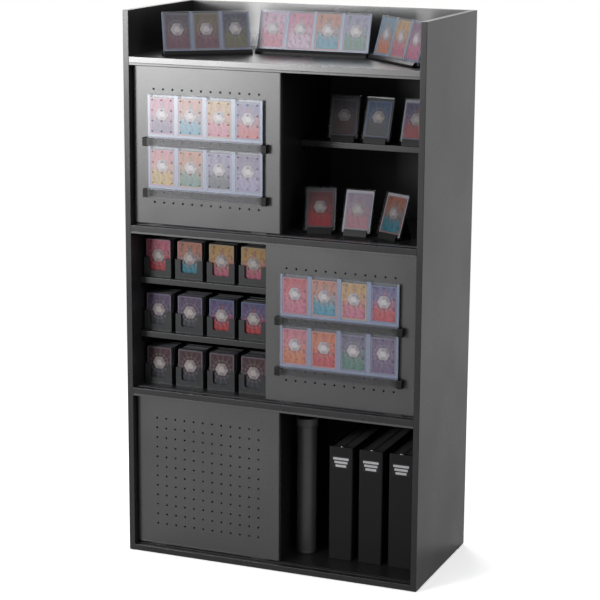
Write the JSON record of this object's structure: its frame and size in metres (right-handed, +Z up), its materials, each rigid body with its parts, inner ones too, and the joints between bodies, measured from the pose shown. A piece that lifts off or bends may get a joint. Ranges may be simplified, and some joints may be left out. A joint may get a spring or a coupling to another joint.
{
  "type": "trading card display case",
  "caption": "Tall three-tier cabinet with perforated sliding doors, clear card pockets on the doors, an open tray on top, slabs on easels, deck trays and binders.",
  "frame": {"origin": "on the floor, under the centre of the cabinet's outline", "axes": "+Z up; +X to the right of someone who faces the doors; the front faces -Y"},
  "size_m": [0.765, 0.377, 1.358],
  "materials": {
    "board": "particle board faced in charcoal grey",
    "back_board": "thin board faced in black",
    "door_metal": "satin charcoal powder coat",
    "track_aluminium": "dark anodised",
    "steel": "zinc plated",
    "dowel_wood": "plain beech",
    "nylon": "natural nylon",
    "black_plastic": "moulded, fine texture",
    "tray_plastic": "moulded, dark grey",
    "tube_plastic": "moulded, mid grey",
    "clear_plastic": "clear acrylic",
    "card": null,
    "binder_cover": "black leatherette",
    "binder_fabric": "black woven zip band"
  },
  "bodies": {
    "cabinet": {"left_side_panel": "board", "right_side_panel": "board", "bottom_panel": "board", "lower_middle_panel": "board", "upper_middle_panel": "board", "top_panel": "board", "tray_back_panel": "board", "lower_back_board": "back_board", "middle_back_board": "back_board", "upper_back_board": "back_board", "lower_divider": "board", "middle_divider": "board", "upper_divider": "board", "card_shelf": "board", "low_deck_shelf": "board", "high_deck_shelf": "board", "shelf_pins": "steel", "pin_sleeves": "steel", "floor_glides": "black_plastic", "wood_screws": "steel", "cam_fittings": "steel", "dowels": "dowel_wood", "lower_door_track": "track_aluminium", "middle_door_track": "track_aluminium", "upper_door_track": "track_aluminium", "lower_door_guide": "door_metal", "middle_door_guide": "door_metal", "upper_door_guide": "door_metal", "left_stand_foot": "black_plastic", "centre_stand_foot": "black_plastic", "right_stand_foot": "black_plastic", "left_stand_pockets": "clear_plastic", "centre_stand_pockets": "clear_plastic", "right_stand_pockets": "clear_plastic", "stand_cards": "card", "slab_easels": "black_plastic", "card_slabs": "clear_plastic", "slab_cards": "card", "deck_trays": "tray_plastic", "deck_blocks": "card", "binder_covers": "binder_cover", "binder_zips": "binder_fabric", "zip_pulls": "steel", "mat_tube": "tube_plastic", "tube_cap": "tube_plastic"},
    "upper_door": {"upper_door_panel": "door_metal", "upper_door_glides": "nylon", "upper_door_rails": "clear_plastic", "upper_door_brackets": "black_plastic", "upper_door_pockets": "clear_plastic", "upper_door_cards": "card"},
    "middle_door": {"middle_door_panel": "door_metal", "middle_door_glides": "nylon", "middle_door_rails": "clear_plastic", "middle_door_brackets": "black_plastic", "middle_door_pockets": "clear_plastic", "middle_door_cards": "card"},
    "lower_door": {"lower_door_panel": "door_metal", "lower_door_glides": "nylon"}
  },
  "joints": [
    {"name": "upper_door_slide", "type": "slide", "parent": "cabinet", "child": "upper_door", "axis": [1, 0, 0], "range_m": [0, 0.347]},
    {"name": "middle_door_slide", "type": "slide", "parent": "cabinet", "child": "middle_door", "axis": [1, 0, 0], "range_m": [-0.347, 0]},
    {"name": "lower_door_slide", "type": "slide", "parent": "cabinet", "child": "lower_door", "axis": [1, 0, 0], "range_m": [0, 0.347]}
  ]
}
